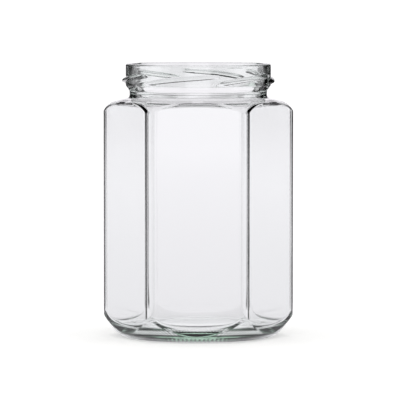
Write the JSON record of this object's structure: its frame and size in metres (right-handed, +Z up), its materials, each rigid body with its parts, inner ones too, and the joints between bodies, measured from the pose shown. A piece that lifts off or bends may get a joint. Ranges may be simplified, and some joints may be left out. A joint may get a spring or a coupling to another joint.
{
  "type": "hexagonal glass jar",
  "caption": "Empty hexagonal jar of clear glass with rounded corners, domed shoulder, sloping heel and a wide round mouth with lugs for a twist-off lid.",
  "frame": {"origin": "centre of the ring that the jar stands on", "axes": "+Z up through the middle of the mouth; +Y square to a flat; +X through an upright corner"},
  "size_m": [0.0782, 0.0692, 0.1125],
  "materials": {
    "clear_glass": "glossy, clear, faintly green where thick"
  },
  "bodies": {
    "root": {"jar": "clear_glass"}
  },
  "joints": []
}
